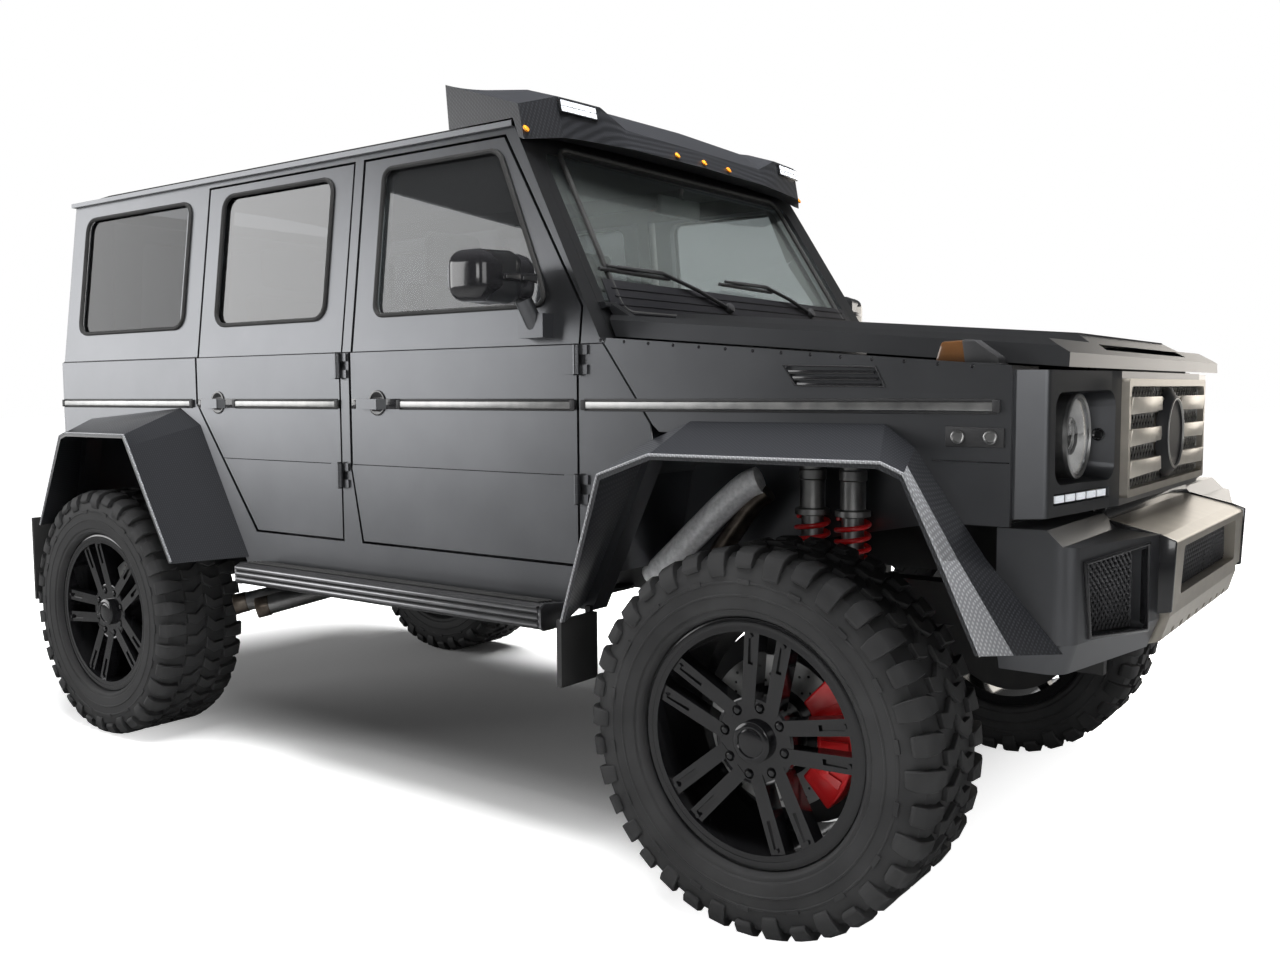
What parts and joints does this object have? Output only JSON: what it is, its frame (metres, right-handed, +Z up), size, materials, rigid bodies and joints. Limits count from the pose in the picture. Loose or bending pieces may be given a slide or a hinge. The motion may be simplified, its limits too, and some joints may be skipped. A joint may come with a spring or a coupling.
{
  "type": "off-road vehicle",
  "caption": "Lifted boxy off-road estate car with portal axles, wide arch flares, mud-terrain tyres, roof light bar and bull bar; its doors, hood, steering and wheels move.",
  "frame": {"origin": "on the ground under the centre of the overall length, on the centre line", "axes": "+X forward, +Y to the vehicle's left, +Z up"},
  "size_m": [4.298, 2.252, 2.214],
  "materials": {
    "gloss_black": "dark gloss, woven pattern under lacquer",
    "paint": "satin dark grey paint",
    "steel": "brushed stainless steel",
    "chassis": "satin black paint",
    "black_plastic": "grained black plastic",
    "glass": "tinted glass",
    "lamp": "clear lamp lens",
    "leather": "dark leather",
    "rubber": "black rubber",
    "red_lamp": "red lamp lens",
    "rim": "gloss black paint",
    "spring": "red painted springs, dark dampers",
    "tyre": "tread rubber"
  },
  "bodies": {
    "vehicle": {"arch_flares": "gloss_black", "body_side_left": "paint", "body_side_right": "paint", "bull_bar": "steel", "chassis_frame": "chassis", "dashboard": "black_plastic", "drive_line": "chassis", "exhausts": "steel", "fixed_glass": "glass", "floor_pan": "paint", "front_axle": "chassis", "front_bumper": "gloss_black", "front_lamps": "lamp", "front_seats": "leather", "front_wings": "paint", "grille": "steel", "light_bar": "gloss_black", "mud_flaps": "rubber", "nose_panel": "paint", "rear_axle": "chassis", "rear_bumper": "gloss_black", "rear_lamps": "red_lamp", "rear_seat": "leather", "roof_panel": "paint", "running_boards": "steel", "screen_frame": "paint", "struts": "spring", "tail_frame": "paint"},
    "front_door_left": {"door_front_left": "paint", "door_glass_front_left": "glass"},
    "wheel_front_left": {"rim_front_left": "rim", "tyre_front_left": "tyre"},
    "rear_door_left": {"door_rear_left": "paint", "door_glass_rear_left": "glass"},
    "wheel_rear_left": {"rim_rear_left": "rim", "tyre_rear_left": "tyre"},
    "knuckle_left": {"knuckle_left": "chassis"},
    "front_door_right": {"door_front_right": "paint", "door_glass_front_right": "glass"},
    "wheel_front_right": {"rim_front_right": "rim", "tyre_front_right": "tyre"},
    "rear_door_right": {"door_rear_right": "paint", "door_glass_rear_right": "glass"},
    "wheel_rear_right": {"rim_rear_right": "rim", "tyre_rear_right": "tyre"},
    "knuckle_right": {"knuckle_right": "chassis"},
    "rear_door": {"tailgate": "paint", "tailgate_glass": "glass"},
    "hood": {"hood": "paint"}
  },
  "joints": [
    {"name": "front_door_left_swing", "type": "hinge", "parent": "vehicle", "child": "front_door_left", "pos_m": [0.73427, 0.89, 1.258], "axis": [0, 0, -1], "range_deg": [0, 70]},
    {"name": "rear_door_left_swing", "type": "hinge", "parent": "vehicle", "child": "rear_door_left", "pos_m": [-0.24973, 0.89, 1.258], "axis": [0, 0, -1], "range_deg": [0, 70]},
    {"name": "steer_left", "type": "hinge", "parent": "vehicle", "child": "knuckle_left", "pos_m": [1.34827, 0.69, 0.581], "axis": [0, 0, 1], "range_deg": [-28, 28]},
    {"name": "front_wheel_left_spin", "type": "hinge", "parent": "knuckle_left", "child": "wheel_front_left", "pos_m": [1.34827, 0.875, 0.466], "axis": [0, 1, 0], "continuous": true},
    {"name": "rear_wheel_left_spin", "type": "hinge", "parent": "vehicle", "child": "wheel_rear_left", "pos_m": [-1.50173, 0.875, 0.466], "axis": [0, 1, 0], "continuous": true},
    {"name": "front_door_right_swing", "type": "hinge", "parent": "vehicle", "child": "front_door_right", "pos_m": [0.73427, -0.89, 1.258], "axis": [0, 0, 1], "range_deg": [0, 70]},
    {"name": "rear_door_right_swing", "type": "hinge", "parent": "vehicle", "child": "rear_door_right", "pos_m": [-0.24973, -0.89, 1.258], "axis": [0, 0, 1], "range_deg": [0, 70]},
    {"name": "steer_right", "type": "hinge", "parent": "vehicle", "child": "knuckle_right", "pos_m": [1.34827, -0.69, 0.581], "axis": [0, 0, 1], "range_deg": [-28, 28]},
    {"name": "front_wheel_right_spin", "type": "hinge", "parent": "knuckle_right", "child": "wheel_front_right", "pos_m": [1.34827, -0.875, 0.466], "axis": [0, 1, 0], "continuous": true},
    {"name": "rear_wheel_right_spin", "type": "hinge", "parent": "vehicle", "child": "wheel_rear_right", "pos_m": [-1.50173, -0.875, 0.466], "axis": [0, 1, 0], "continuous": true},
    {"name": "rear_door_swing", "type": "hinge", "parent": "vehicle", "child": "rear_door", "pos_m": [-2.02073, -0.69, 1.258], "axis": [0, 0, 1], "range_deg": [0, 95]},
    {"name": "hood_lift", "type": "hinge", "parent": "vehicle", "child": "hood", "pos_m": [0.75427, 0, 1.53], "axis": [0, -1, 0], "range_deg": [0, 50]}
  ],
  "couplings": [
    {"joint": "steer_right", "follows": "steer_left", "ratio": 1}
  ]
}
